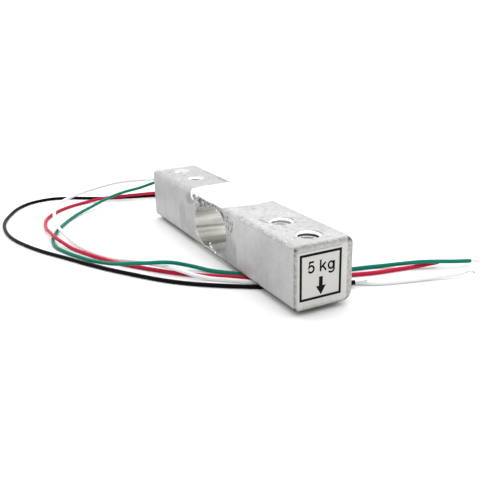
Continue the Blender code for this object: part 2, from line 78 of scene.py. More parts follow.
class Look:
    """A Principled material, with short calls for the nodes behind it."""

    def __init__(self, name, colour=(0.8, 0.8, 0.8), roughness=0.5, metallic=0.0, **sockets):
        self.mat = bpy.data.materials.new(name)
        self.mat.use_nodes = True
        self.tree = self.mat.node_tree
        self.shader = self.tree.nodes["Principled BSDF"]
        self.set("Base Color", (*colour, 1.0))
        self.set("Roughness", roughness)
        self.set("Metallic", metallic)
        for key, value in sockets.items():
            self.set(key.replace("_", " "), value)
        coords = self.tree.nodes.new("ShaderNodeTexCoord")
        scale = self.tree.nodes.new("ShaderNodeMapping")
        scale.inputs["Scale"].default_value = (1000.0, 1000.0, 1000.0)
        scale.inputs["Location"].default_value = (-DATUM.x / MM, 0.0, 0.0)
        self.tree.links.new(coords.outputs["Object"], scale.inputs["Vector"])
        self.pos = scale.outputs["Vector"]          # millimetres from the datum
        split = self.tree.nodes.new("ShaderNodeSeparateXYZ")
        self.tree.links.new(self.pos, split.inputs[0])
        self.x, self.y, self.z = split.outputs
        facing = self.tree.nodes.new("ShaderNodeSeparateXYZ")
        self.tree.links.new(coords.outputs["Normal"], facing.inputs[0])
        self.nx, self.ny, self.nz = facing.outputs

    def set(self, socket, value):
        self.shader.inputs[socket].default_value = value

    def feed(self, target, value):
        if hasattr(value, "is_output") or isinstance(value, bpy.types.NodeSocket):
            self.tree.links.new(value, target)
        else:
            target.default_value = value

    def math(self, operation, a, b=None, c=None, clamp=False):
        node = self.tree.nodes.new("ShaderNodeMath")
        node.operation = operation
        node.use_clamp = clamp
        for slot, value in zip(node.inputs, (a, b, c)):
            if value is not None:
                self.feed(slot, value)
        return node.outputs[0]

    def add(self, *terms):
        total = terms[0]
        for term in terms[1:]:
            total = self.math("ADD", total, term)
        return total

    def times(self, *terms):
        total = terms[0]
        for term in terms[1:]:
            total = self.math("MULTIPLY", total, term)
        return total

    def step(self, value, low, high):
        """0 at low and below, 1 at high and above, smooth between."""
        node = self.tree.nodes.new("ShaderNodeMapRange")
        node.interpolation_type = "SMOOTHSTEP"
        self.feed(node.inputs["Value"], value)
        node.inputs["From Min"].default_value = low
        node.inputs["From Max"].default_value = high
        return node.outputs["Result"]

    def between(self, value, a, b, soft):
        return self.times(self.step(value, a - soft, a + soft),
                          self.math("SUBTRACT", 1.0, self.step(value, b - soft, b + soft)))

    def vector(self, x, y, z):
        node = self.tree.nodes.new("ShaderNodeCombineXYZ")
        for slot, value in zip(node.inputs, (x, y, z)):
            self.feed(slot, value)
        return node.outputs[0]

    def stretch(self, sx, sy, sz, shift=(0.0, 0.0, 0.0)):
        node = self.tree.nodes.new("ShaderNodeMapping")
        node.inputs["Scale"].default_value = (sx, sy, sz)
        node.inputs["Location"].default_value = shift
        self.tree.links.new(self.pos, node.inputs["Vector"])
        return node.outputs["Vector"]

    def noise(self, scale, detail=2.0, rough=0.5, vector=None, distortion=0.0):
        node = self.tree.nodes.new("ShaderNodeTexNoise")
        node.inputs["Scale"].default_value = scale
        node.inputs["Detail"].default_value = detail
        node.inputs["Roughness"].default_value = rough
        node.inputs["Distortion"].default_value = distortion
        self.tree.links.new(self.pos if vector is None else vector, node.inputs["Vector"])
        return node.outputs["Fac"]

    def cells(self, scale, vector=None, feature="F1", jitter=1.0):
        node = self.tree.nodes.new("ShaderNodeTexVoronoi")
        node.feature = feature
        node.inputs["Scale"].default_value = scale
        node.inputs["Randomness"].default_value = jitter
        self.tree.links.new(self.pos if vector is None else vector, node.inputs["Vector"])
        return node.outputs["Distance"]

    def spot(self, x, z, rx, rz, ragged=0.35, scale=0.9):
        """A ragged oval stain in X and Z, 1 in its middle."""
        dx = self.math("DIVIDE", self.math("SUBTRACT", self.x, x), rx)
        dz = self.math("DIVIDE", self.math("SUBTRACT", self.z, z), rz)
        far = self.math("SQRT", self.add(self.times(dx, dx), self.times(dz, dz)))
        far = self.add(far, self.times(self.math("SUBTRACT", self.noise(scale, 3.0), 0.5), 2 * ragged))
        return self.math("SUBTRACT", 1.0, self.step(far, 0.55, 1.15))

    def blot(self, x, y, rx, ry, ragged=0.35, scale=0.9):
        """The same stain on the upper face, in X and Y."""
        dx = self.math("DIVIDE", self.math("SUBTRACT", self.x, x), rx)
        dy = self.math("DIVIDE", self.math("SUBTRACT", self.y, y), ry)
        far = self.math("SQRT", self.add(self.times(dx, dx), self.times(dy, dy)))
        far = self.add(far, self.times(self.math("SUBTRACT", self.noise(scale, 3.0), 0.5), 2 * ragged))
        return self.math("SUBTRACT", 1.0, self.step(far, 0.55, 1.15))

    def mix(self, factor, a, b):
        node = self.tree.nodes.new("ShaderNodeMix")
        node.data_type = "RGBA"
        self.feed(node.inputs["Factor"], factor)
        for slot, value in ((node.inputs[6], a), (node.inputs[7], b)):
            self.feed(slot, (*value, 1.0) if isinstance(value, tuple) else value)
        return node.outputs[2]

    def ramp(self, factor, stops):
        """Stops are (place, value) pairs; the result is a grey value."""
        node = self.tree.nodes.new("ShaderNodeValToRGB")
        band = node.color_ramp
        while len(band.elements) > 1:
            band.elements.remove(band.elements[-1])
        band.elements[0].position = stops[0][0]
        band.elements[0].color = (stops[0][1],) * 3 + (1.0,)
        for place, value in stops[1:]:
            element = band.elements.new(place)
            element.color = (value,) * 3 + (1.0,)
        self.tree.links.new(factor, node.inputs[0])
        return node.outputs["Color"]

    def scaled(self, value, colour):
        """A grey value times a colour."""
        return self.vector(*(self.times(value, c) for c in colour))

    def bump(self, height, strength=1.0):
        """height is in millimetres."""
        node = self.tree.nodes.new("ShaderNodeBump")
        node.inputs["Strength"].default_value = strength
        node.inputs["Distance"].default_value = MM
        self.tree.links.new(height, node.inputs["Height"])
        self.tree.links.new(node.outputs["Normal"], self.shader.inputs["Normal"])

    def out(self, socket, value):
        self.tree.links.new(value, self.shader.inputs[socket])


# ------------------------------------------------------------------ materials


# tone round the opening's wall, reaming marks with painted highlights and shade in bands: 0 to 1 anticlockwise from the
# load end
WALL_MARKS_LIGHT_AND_SHADE = [(0.0, 0.85), (0.30, 0.80), (0.375, 0.70), (0.415, 0.84), (0.446, 0.82),
              (0.462, 0.64), (0.490, 0.64), (0.498, 0.70), (0.503, 1.0), (0.508, 0.74),
              (0.514, 0.76), (0.520, 1.0), (0.526, 0.82), (0.545, 0.86), (0.562, 0.82),
              (0.572, 0.62), (0.577, 0.38), (0.582, 0.40), (0.588, 0.66), (0.597, 0.96),
              (0.606, 0.80), (0.616, 0.68), (0.636, 0.86), (0.650, 0.76), (0.664, 0.58),
              (0.676, 0.50), (0.700, 0.50), (0.715, 0.38), (0.75, 0.40), (0.82, 0.7),
              (0.95, 0.85)]


def bar_metal():
    m = Look("aluminium_bar", roughness=0.5, metallic=0.85)
    centred = lambda v: m.math("SUBTRACT", v, 0.5)
    less = lambda v: m.math("SUBTRACT", 1.0, v)
    cloud = centred(m.noise(0.17, 3.0, 0.5))
    mottle = centred(m.noise(0.85, 3.0, 0.55))
    grain = centred(m.noise(2.7, 3.0, 0.6))
    fine_grain = centred(m.noise(6.5, 2.0, 0.6))

    # which side of the bar this is, from its own normal and place
    top = m.step(m.nz, 0.55, 0.9)
    neg_side = m.step(m.times(m.ny, -1.0), 0.5, 0.9)
    end = m.step(m.nx, 0.6, 0.95)

    load_half = m.step(m.x, 15.0, 37.0)
    # each face also gets its own offset, the room side and the upper face darker and the end face lighter: painted
    # shade and light per face
    value = m.add(0.50, m.times(cloud, 0.16), m.times(mottle, 0.15),
                  m.times(grain, m.add(0.13, m.times(top, 0.20))),
                  m.times(fine_grain, m.add(0.08, m.times(neg_side, 0.12), m.times(top, 0.06))),
                  m.times(neg_side, -0.05), m.times(top, -0.11), m.times(top, load_half, 0.065),
                  m.times(end, 0.10))
    # the upper face is lighter by its fixed end and greyer along its two long edges; the underside and the lower parts
    # of its edge roundings are much darker, a painted contact shadow under the bar
    value = m.add(value, m.times(top, less(m.step(m.x, -9.0, -5.5)), 0.05),
                  m.times(top, less(m.step(m.y, -6.0, -4.6)), -0.05),
                  m.times(top, m.step(m.y, 4.0, 5.4), -0.03),
                  m.times(m.step(m.times(m.nz, -1.0), 0.10, 0.60), -0.42))

    # drawn lines up the two long sides, and stronger ones past the opening
    lines = centred(m.noise(1.0, 3.0, 0.6, m.stretch(3.0, 1.0, 0.10)))
    past = m.between(m.x, 38.0, 47.0, 2.0)
    value = m.add(value, m.times(lines, m.add(0.08, m.times(past, 0.10)), neg_side),
                  m.times(m.between(m.x, 36.0, 50.0, 3.0), neg_side, 0.08),
                  m.times(m.step(m.x, 48.0, 52.0), neg_side, 0.02))

    # stains on the side that faces the room
    pitted = m.times(m.spot(37.0, 9.6, 3.0, 3.0, 0.3), neg_side)
    smooth = m.times(m.spot(37.6, 3.4, 5.0, 4.4, 0.18), less(m.step(m.x, 41.0, 41.7)), neg_side)
    faint = m.times(m.spot(10.6, 5.2, 2.6, 4.2, 0.3), neg_side)
    upper = m.times(m.spot(16.4, 10.6, 2.6, 1.5, 0.5), neg_side)
    lower = m.times(m.spot(15.6, 3.0, 3.0, 2.4, 0.4), neg_side)
    web = m.times(m.spot(26.0, 12.3, 9.0, 1.2, 0.5, 2.0), m.step(m.times(m.ny, -1.0), 0.2, 0.5))
    rim = m.times(m.between(m.z, 11.95, 12.6, 0.2), m.step(m.x, 35.0, 38.0),
                  m.step(m.noise(1.5, 3.0), 0.40, 0.60), m.step(m.times(m.ny, -1.0), 0.12, 0.4))
    value = m.add(value, m.times(pitted, -0.07), m.times(smooth, -0.17), m.times(upper, -0.12),
                  m.times(lower, -0.06), m.times(faint, -0.08), m.times(web, -0.12), m.times(rim, -0.10),
                  m.times(m.blot(47.9, -3.3, 1.8, 0.6, 0.25, 1.4), top, -0.16),
                  m.times(m.blot(10.8, 5.0, 2.6, 0.8, 0.4, 1.2), top, -0.10))
    holes = less(m.step(m.cells(1.15), 0.26, 0.50))
    pits = m.times(holes, m.step(m.noise(0.9, 2.0), 0.40, 0.54),
                   m.math("MAXIMUM", pitted, m.math("MAXIMUM", m.times(web, 0.9), m.times(rim, 0.3))))
    value = m.add(value, m.times(pits, -0.26))
    for px, pz, size in ((37.1, 11.0, 0.34), (37.7, 11.4, 0.26), (37.3, 10.4, 0.26), (38.9, 10.4, 0.34),
                         (38.1, 9.7, 0.28), (39.7, 10.2, 0.36), (39.4, 9.2, 0.38), (36.6, 9.0, 0.26),
                         (37.5, 8.6, 0.26), (38.9, 8.6, 0.28), (39.9, 10.8, 0.24), (38.4, 7.6, 0.22)):
        value = m.add(value, m.times(m.spot(px, pz, size, size * 1.1, 0.25, 2.2), neg_side, -0.26))

    # the countersinks of the fixed end's holes are painted much brighter: a painted highlight where they catch the
    # light
    for hole in (-4.5, 5.5):
        hx = m.math("SUBTRACT", m.x, hole)
        reach = m.math("SQRT", m.add(m.times(hx, hx), m.times(m.y, m.y)))
        value = m.add(value, m.times(less(m.step(reach, 2.02, 2.16)), top, 0.5))

    # the load end's countersinks are painted darker on the sides that face away from the wall of light and round their
    # outer ring: painted shade
    for hole in (49.5, 59.5):
        hx = m.math("SUBTRACT", m.x, hole)
        reach = m.math("SQRT", m.add(m.times(hx, hx), m.times(m.y, m.y)))
        toward = m.math("DIVIDE", m.add(m.times(hx, -0.89), m.times(m.y, 0.45)), reach)
        cone = m.times(less(m.step(reach, 2.92, 3.02)), m.step(m.z, 12.0, 12.1),
                       less(m.step(m.nz, 0.80, 0.93)))
        value = m.add(value, m.times(cone, less(m.step(toward, 0.74, 0.97)), -0.13),
                      m.times(cone, m.step(reach, 2.64, 2.76), -0.17))

    # bright flecks and small dents on the upper face
    flecks = m.times(less(m.step(m.cells(0.80), 0.10, 0.26)), top)
    dents = m.times(less(m.step(m.cells(0.55, m.stretch(1, 1, 1, (3.1, 7.7, 1.9))), 0.10, 0.34)), top)
    value = m.add(value, m.times(flecks, 0.13), m.times(dents, -0.11))

    # milling marks on the end face, and its darker, mottled edges: worn, with painted shade that takes the highlight
    # off the upper rounding; the band along the lower edge is painted shade, the dark line where the bar stands over
    # the floor
    mill = centred(m.noise(1.0, 3.0, 0.65, m.stretch(1.0, 0.25, 4.2)))
    at_end = m.step(m.x, 74.1 - 10.0, 74.7 - 10.0)
    by_room = m.times(m.step(m.times(m.y, -1.0), 5.75, 6.15), at_end)
    by_top = m.times(m.step(m.z, 11.6, 12.1), m.step(m.x, 63.9, 64.5))
    edge_mottle = m.add(0.7, m.times(centred(m.noise(1.6, 3.0)), 1.9))
    by_wires = m.times(m.step(m.y, 4.85, 5.15), at_end)
    shade_by_floor = m.times(less(m.step(m.z, 0.6, 1.0)), at_end)
    value = m.add(value, m.times(mill, end, 0.16), m.times(by_room, edge_mottle, -0.25),
                  m.times(by_top, edge_mottle, -0.22), m.times(by_wires, edge_mottle, -0.25),
                  m.times(shade_by_floor, edge_mottle, -0.16))

    # the reamed wall of the opening, its tone bands partly reaming marks and partly painted highlights and shade
    half = EYE_PITCH / 2
    dz = m.math("SUBTRACT", m.z, 6.35)
    angles, nears = [], []
    for cx in (EYE_X - half, EYE_X + half):
        dx = m.math("SUBTRACT", m.x, cx)
        nears.append(m.math("SQRT", m.add(m.times(dx, dx), m.times(dz, dz))))
        angles.append(m.math("ARCTAN2", dz, dx))
    on_wall = less(m.step(m.math("MINIMUM", *nears), EYE_R + 0.01, EYE_R + 0.06))
    first = m.math("LESS_THAN", m.x, EYE_X)
    angle = m.add(m.times(angles[0], first), m.times(angles[1], less(first)))
    # 0 to 1 anticlockwise from the load end
    turn = m.math("FRACT", m.add(m.math("DIVIDE", angle, 2 * math.pi), 1.0))
    slant = m.times(m.y, -0.0022)
    wobble = m.times(centred(m.noise(0.8, 2.0)), 0.004)
    swept = m.add(turn, slant, wobble)
    marks_light_and_shade = m.ramp(swept, WALL_MARKS_LIGHT_AND_SHADE)
    fine = centred(m.noise(1.0, 3.0, 0.6, m.vector(m.times(turn, 150.0), m.times(m.y, 0.07), 0.0)))
    blotch = centred(m.noise(1.0, 2.0, 0.5, m.vector(m.times(turn, 60.0), m.times(m.y, 0.7), 4.0)))
    wall = m.math("MINIMUM", m.add(marks_light_and_shade, m.times(fine, 0.34), m.times(blotch, 0.14)), 1.0)
    warm = m.scaled(wall, (1.0, 0.992, 0.955))
    cool = m.mix(m.times(end, at_end), m.scaled(value, (1.0, 1.0, 1.0)), m.scaled(value, (1.0, 0.985, 0.945)))
    m.out("Base Color", m.mix(on_wall, cool, warm))

    off_wall = less(on_wall)
    rough = m.add(0.48, m.times(mottle, off_wall, 0.25), m.times(grain, off_wall, 0.25),
                  m.times(on_wall, -0.16))
    m.out("Roughness", rough)
    height = m.add(m.times(m.add(m.times(grain, m.add(0.030, m.times(top, 0.05))),
                                 m.times(mottle, 0.05), m.times(cloud, 0.06)), off_wall),
                   m.times(pits, -0.12), m.times(dents, -0.05),
                   m.times(mill, end, 0.014), m.times(fine, on_wall, 0.02),
                   m.times(lines, neg_side, 0.012))
    m.bump(height, 0.9)
    return m.mat


def thread_metal(name, x, outer, depth, root_shade, dim):
    """Bright crests and lead-in; painted shade in the roots over one band of depth, and painted shade deeper down the
    hole.
    """
    m = Look("aluminium_" + name, roughness=0.34, metallic=0.5)
    dx = m.math("SUBTRACT", m.x, x - DATUM.x / MM)
    away = m.math("SQRT", m.add(m.times(dx, dx), m.times(m.y, m.y)))
    deep = m.math("MINIMUM", m.z, m.math("SUBTRACT", BAR_SIDE / MM, m.z))
    # root is painted shade in the thread roots over one band of depth; inside is painted shade deeper down the hole
    root = m.times(m.step(away, outer - depth * 0.85, outer - depth * 0.30), m.between(deep, 0.70, 1.5, 0.12))
    inside = m.step(deep, 0.5, 3.0)
    tone = m.add(0.92, m.times(m.math("SUBTRACT", m.noise(2.4, 3.0), 0.5), 0.12), m.times(inside, -dim))
    tone = m.times(tone, m.math("SUBTRACT", 1.0, m.times(root, root_shade)))
    m.out("Base Color", m.scaled(tone, (1.0, 1.0, 0.99)))
    m.bump(m.times(m.noise(9.0, 2.0), 0.012), 0.6)
    return m.mat


def silicone():
    m = Look("silicone_white", (0.90, 0.90, 0.89), 0.32, 0.0,
             Subsurface_Weight=0.10, Subsurface_Scale=0.0006, Coat_Weight=0.15, Coat_Roughness=0.25)
    m.set("Subsurface Radius", (1.0, 0.9, 0.8))
    tone = m.add(0.90, m.times(m.math("SUBTRACT", m.noise(0.5, 3.0), 0.5), 0.05))
    m.out("Base Color", m.scaled(tone, (1.0, 1.0, 0.99)))
    m.out("Roughness", m.add(0.26, m.times(m.noise(1.2, 2.0), 0.16)))
    m.bump(m.add(m.times(m.noise(0.9, 2.0), 0.05), m.times(m.noise(4.0, 2.0), 0.008)), 0.7)
    return m.mat


def insulation(name, colour, spread=0.06, gloss=0.3):
    m = Look("pvc_" + name, colour, 0.38, 0.0, Specular_IOR_Level=gloss)
    shade = m.add(1.0, m.times(m.math("SUBTRACT", m.noise(0.35, 3.0), 0.5), 2 * spread),
                  m.times(m.math("SUBTRACT", m.noise(3.0, 2.0), 0.5), spread))
    m.out("Base Color", m.scaled(shade, colour))
    m.out("Roughness", m.add(0.34, m.times(m.noise(1.5, 2.0), 0.12)))
    m.bump(m.times(m.noise(2.2, 2.0), 0.006), 0.6)
    return m.mat


def tinned():
    m = Look("tinned_strands", roughness=0.3, metallic=0.9)
    tone = m.add(0.66, m.times(m.math("SUBTRACT", m.noise(3.0, 2.0), 0.5), 0.3))
    m.out("Base Color", m.scaled(tone, (1.0, 0.96, 0.91)))
    m.bump(m.times(m.noise(8.0, 2.0), 0.01), 0.5)
    return m.mat


def label_film():
    m = Look("label_film", roughness=0.42, metallic=0.0)
    tone = m.add(0.565, m.times(m.math("SUBTRACT", m.noise(2.5, 4.0, 0.6), 0.5), 0.035))
    m.out("Base Color", m.scaled(tone, (1.0, 0.985, 0.94)))
    m.out("Roughness", m.add(0.38, m.times(m.noise(4.0, 2.0), 0.1)))
    m.bump(m.times(m.noise(1.6, 2.0), 0.01), 0.5)
    return m.mat


def print_black():
    m = Look("print_black", roughness=0.6, Specular_IOR_Level=0.08)
    tone = m.add(0.001, m.times(m.noise(5.0, 3.0), 0.006))
    m.out("Base Color", m.scaled(tone, (1.0, 1.0, 1.0)))
    return m.mat


def plain(name, colour, roughness, metallic, speckle):
    m = Look(name, colour, roughness, metallic)
    tone = m.add(1.0, m.times(m.math("SUBTRACT", m.noise(2.0, 3.0), 0.5), speckle))
    m.out("Base Color", m.scaled(tone, colour))
    m.bump(m.times(m.noise(7.0, 2.0), 0.01), 0.5)
    return m.mat


METAL = bar_metal()
BURR = plain("aluminium_burr", (0.95, 0.95, 0.92), 0.30, 0.75, 0.1)
SHADE_SLIVER = plain("painted_shade_sliver", (0.09, 0.09, 0.085), 0.5, 0.5, 0.5)
SILICONE = silicone()
PVC = {"green": insulation("green", (0.002, 0.172, 0.118), 0.06, 0.10),
       "red": insulation("red", (0.47, 0.006, 0.038), 0.06, 0.14),
       "white": insulation("white", (0.81, 0.81, 0.82), 0.01, 0.2),
       "black": insulation("black", (0.002, 0.002, 0.003), 0.2, 0.05)}
TINNED = tinned()
FILM = label_film()
INK = print_black()
FOIL = plain("gauge_foil", (0.62, 0.36, 0.12), 0.4, 0.2, 0.25)
BOARD = plain("terminal_board", (0.10, 0.24, 0.10), 0.5, 0.0, 0.3)
ENAMEL = plain("enamel_wire", (0.45, 0.14, 0.05), 0.3, 0.6, 0.2)

# ------------------------------------------------------------------ mesh helpers


def make(name, bm, mat, smooth=40.0):
    mesh = bpy.data.meshes.new(name)
    bmesh.ops.recalc_face_normals(bm, faces=bm.faces)
    bm.to_mesh(mesh)
    bm.free()
    obj = bpy.data.objects.new(name, mesh)
    bpy.context.scene.collection.objects.link(obj)
    if mat is not None:
        mesh.materials.append(mat)
    mesh.shade_smooth()
    mesh.set_sharp_from_angle(angle=math.radians(smooth))
    return obj


def skin_loft(bm, rings, caps=True, closed=False):
    """Skin equal rings of points; closed joins the last ring to the first."""
    rows = [[bm.verts.new(p) for p in ring] for ring in rings]
    count = len(rows[0])
    pairs = list(zip(rows, rows[1:]))
    if closed:
        pairs.append((rows[-1], rows[0]))
    for a, b in pairs:
        for i in range(count):
            j = (i + 1) % count
            bm.faces.new((a[i], a[j], b[j], b[i]))
    if caps and not closed:
        bm.faces.new(rows[0])
        bm.faces.new(list(reversed(rows[-1])))


def tube_into(bm, points, radius, sides=8):
    """A round tube along points, its rings carried without twist."""
    pts = [Vector(p) for p in points]
    tangent = (pts[1] - pts[0]).normalized()
    normal = tangent.orthogonal().normalized()
    rings = []
    for i, p in enumerate(pts):
        ahead = pts[min(i + 1, len(pts) - 1)] - pts[max(i - 1, 0)]
        new = ahead.normalized()
        normal = (tangent.rotation_difference(new) @ normal).normalized()
        tangent = new
        other = tangent.cross(normal)
        r = radius(i / (len(pts) - 1)) if callable(radius) else radius
        rings.append([p + (normal * math.cos(a) + other * math.sin(a)) * r
                      for a in (2 * math.pi * k / sides for k in range(sides))])
    skin_loft(bm, rings)


def applied(obj):
    """Bake an object's modifiers into its mesh."""
    view = bpy.context.evaluated_depsgraph_get()
    mesh = bpy.data.meshes.new_from_object(obj.evaluated_get(view))
    obj.modifiers.clear()
    old = obj.data
    obj.data = mesh
    bpy.data.meshes.remove(old)
    return obj


# ------------------------------------------------------------------ cords
WIRE_D, CORE_D = 0.90, 0.36     # millimetres
WIRE_LIES = -(0.10 + WIRE_D / 2)
F = WIRE_LIES
EXIT_X, EXIT_Y = 8.3, 7.1
ROUTES = {
    "white": [(EXIT_X, EXIT_Y, 9.4), (4.0, 7.2, 9.35), (-3.5, 8.0, 8.9), (-12.0, 9.3, 8.0),
              (-19.8, 8.2, 7.0), (-25.5, 4.2, 6.1), (-30.7, -0.6, 5.2), (-36.0, -5.3, 4.3),
              (-39.1, -10.4, 3.4), (-39.9, -16.0, 2.4), (-39.2, -22.0, 1.4), (-36.3, -26.8, 0.8),
              (-32.7, -29.5, 0.55), (-26.1, -31.6, 0.5), (-17.5, -33.2, 0.5), (-12.5, -33.7, 0.55),
              (-7.0, -33.6, 0.4), (-1.3, -32.9, -0.1), (5.4, -31.6, F), (11.5, -29.9, F),
              (17.0, -27.5, F), (21.0, -25.2, -0.2), (24.6, -23.3, 0.4), (27.4, -21.8, 0.5),
              (30.1, -20.0, 0.5), (33.2, -18.1, 0.5), (36.4, -16.5, 0.4), (38.4, -15.0, 0.0),
              (40.6, -12.3, -0.5), (44.2, -8.2, F), (46.8, -5.4, F), (49.3, -2.0, F),
              (51.6, 1.8, F), (53.8, 5.8, F), (55.8, 9.6, F), (58.0, 12.9, F), (60.5, 16.6, F),
              (62.4, 22.4, F), (64.2, 28.6, -0.4), (66.0, 34.6, -0.1)],
    "green": [(EXIT_X, EXIT_Y, 7.2), (4.0, 7.2, 7.2), (-3.5, 8.3, 7.0), (-12.0, 10.3, 6.5),
              (-20.8, 10.8, 5.7), (-28.0, 7.6, 4.7), (-31.8, 2.0, 3.8), (-31.8, -3.7, 2.7),
              (-32.4, -9.2, 1.8), (-30.4, -14.8, 1.1), (-27.2, -20.4, 0.2), (-22.4, -26.4, -0.4),
              (-14.8, -31.8, F), (-8.8, -34.8, F), (-3.4, -36.6, F), (2.2, -37.0, F),
              (8.6, -35.2, F), (15.0, -32.5, F), (22.2, -29.3, 0.2), (26.0, -27.3, 0.95),
              (28.9, -25.2, 1.6), (31.0, -22.8, 1.9), (31.9, -20.2, 1.85), (32.2, -17.6, 1.35),
              (32.6, -15.1, 0.55), (33.8, -12.8, -0.1), (36.0, -10.9, -0.45), (38.4, -8.7, F),
              (41.4, -5.7, F), (44.1, -1.8, F), (46.4, 2.6, F), (48.4, 7.3, F),
              (50.0, 12.0, F), (51.4, 16.8, F), (52.9, 22.4, F), (55.6, 27.2, 0.05),
              (57.8, 29.8, 0.62), (59.6, 32.5, 0.8), (61.0, 37.0, 0.4), (61.8, 40.8, 0.05)],
    "red": [(EXIT_X, EXIT_Y, 5.0), (4.0, 7.2, 4.95), (-3.5, 8.0, 4.3), (-12.0, 9.4, 3.1),
            (-20.0, 8.6, 2.1), (-26.0, 5.2, 1.4), (-29.8, 0.0, 0.9), (-32.8, -7.0, 0.45),
            (-35.4, -14.4, 0.05), (-35.8, -19.0, -0.4), (-34.6, -23.2, F), (-32.0, -27.6, F),
            (-28.0, -31.6, F), (-23.4, -34.4, F), (-18.0, -35.8, F), (-12.4, -36.4, -0.1),
            (-8.0, -36.5, 0.45), (-4.6, -36.4, 0.55), (-1.2, -36.0, 0.5), (1.9, -35.1, 0.1),
            (4.8, -34.0, -0.4), (9.1, -32.4, F), (14.8, -30.0, F), (21.2, -26.8, F),
            (26.5, -23.2, F), (30.5, -20.2, F), (33.6, -17.7, F), (36.4, -14.9, F),
            (38.9, -11.9, F), (41.2, -9.1, F), (43.6, -6.0, F), (46.0, -2.5, F),
            (48.3, 1.4, F), (50.3, 5.5, F), (52.3, 10.0, F), (54.0, 14.6, F),
            (55.5, 19.3, F), (56.4, 24.4, F), (57.3, 29.2, -0.5), (59.0, 34.1, 0.1)],
    "black": [(EXIT_X, EXIT_Y, 2.8), (4.0, 7.2, 2.7), (-3.5, 7.9, 1.6), (-12.0, 9.0, 0.3),
              (-20.0, 8.8, -0.4), (-26.5, 6.4, F), (-31.6, 1.6, F), (-34.6, -6.0, F),
              (-37.0, -12.6, F), (-40.0, -17.7, F), (-43.6, -23.0, F), (-45.8, -29.2, F),
              (-44.3, -35.2, F), (-39.9, -39.6, F), (-33.3, -43.0, F), (-26.2, -45.4, F),
              (-18.8, -46.2, F), (-11.4, -45.7, F), (-3.6, -43.6, F), (4.2, -40.4, F),
              (11.2, -36.7, F), (18.0, -33.2, F), (24.1, -29.7, F), (29.6, -26.1, F),
              (35.2, -22.2, F), (40.4, -17.6, F), (44.5, -12.8, F), (47.3, -9.0, F),
              (49.8, -5.3, F), (52.1, -1.3, F), (54.0, 2.6, F), (55.8, 6.4, F),
              (57.2, 9.0, -0.4), (58.7, 11.9, 0.05)],
}
TIPS = {
    "white": [(0.10, 0.28, 0.02), (0.45, 0.62, 0.35), (0.95, 0.95, 0.62), (1.35, 1.30, 0.45),
              (1.45, 1.55, 0.02)],
    "green": [(0.12, 0.28, -0.02), (0.35, 0.80, -0.06), (0.62, 1.35, -0.14), (0.95, 1.85, -0.14)],
    "red": [(0.10, 0.30, 0.0), (0.28, 1.0, 0.0), (0.50, 1.7, -0.04), (0.78, 2.4, -0.05)],
    "black": [(0.13, 0.27, 0.04), (0.42, 1.0, 0.10), (0.66, 1.75, 0.14), (0.95, 2.5, 0.16)],
}


def smooth_route(points, spacing, lowest):
    """Even points, in metres, on one smooth curve through a route in millimetres."""
    pts = [Vector(p) for p in points]
    pts = [pts[0] * 2 - pts[1]] + pts + [pts[-1] * 2 - pts[-2]]
    dense = []
    for p0, p1, p2, p3 in zip(pts, pts[1:], pts[2:], pts[3:]):
        t0 = 0.0
        t1 = t0 + max((p1 - p0).length, 1e-6) ** 0.5
        t2 = t1 + max((p2 - p1).length, 1e-6) ** 0.5
        t3 = t2 + max((p3 - p2).length, 1e-6) ** 0.5
        for i in range(24):
            t = t1 + (t2 - t1) * i / 24
            a1 = p0 * ((t1 - t) / (t1 - t0)) + p1 * ((t - t0) / (t1 - t0))
            a2 = p1 * ((t2 - t) / (t2 - t1)) + p2 * ((t - t1) / (t2 - t1))
            a3 = p2 * ((t3 - t) / (t3 - t2)) + p3 * ((t - t2) / (t3 - t2))
            b1 = a1 * ((t2 - t) / (t2 - t0)) + a2 * ((t - t0) / (t2 - t0))
            b2 = a2 * ((t3 - t) / (t3 - t1)) + a3 * ((t - t1) / (t3 - t1))
            dense.append(b1 * ((t2 - t) / (t2 - t1)) + b2 * ((t - t1) / (t2 - t1)))
    dense.append(pts[-2].copy())
    run = [0.0]
    for a, b in zip(dense, dense[1:]):
        run.append(run[-1] + (b - a).length)
    count = max(4, round(run[-1] / spacing))
    out, k = [], 0
    for i in range(count + 1):
        s = run[-1] * i / count
        while k < len(run) - 2 and run[k + 1] < s:
            k += 1
        f = (s - run[k]) / max(run[k + 1] - run[k], 1e-9)
        p = dense[k].lerp(dense[k + 1], min(max(f, 0.0), 1.0))
        p.z = max(p.z, lowest)
        out.append(p * MM)
    return out


def lead(colour):
    """The insulated wire: one poly spline with a round bevel."""
    points = [p + DATUM for p in smooth_route(ROUTES[colour], 0.8, F)]
    data = bpy.data.curves.new("wire_" + colour, "CURVE")
    data.dimensions = "3D"
    data.bevel_depth = WIRE_D / 2 * MM
    data.bevel_resolution = 4
    data.use_fill_caps = True
    spline = data.splines.new("POLY")
    spline.points.add(len(points) - 1)
    for slot, p in zip(spline.points, points):
        slot.co = (*p, 1.0)
    spline.use_smooth = True
    data.materials.append(PVC[colour])
    obj = bpy.data.objects.new("wire_" + colour, data)
    bpy.context.scene.collection.objects.link(obj)
    length = sum((b - a).length for a, b in zip(points, points[1:]))
    return obj, points, length


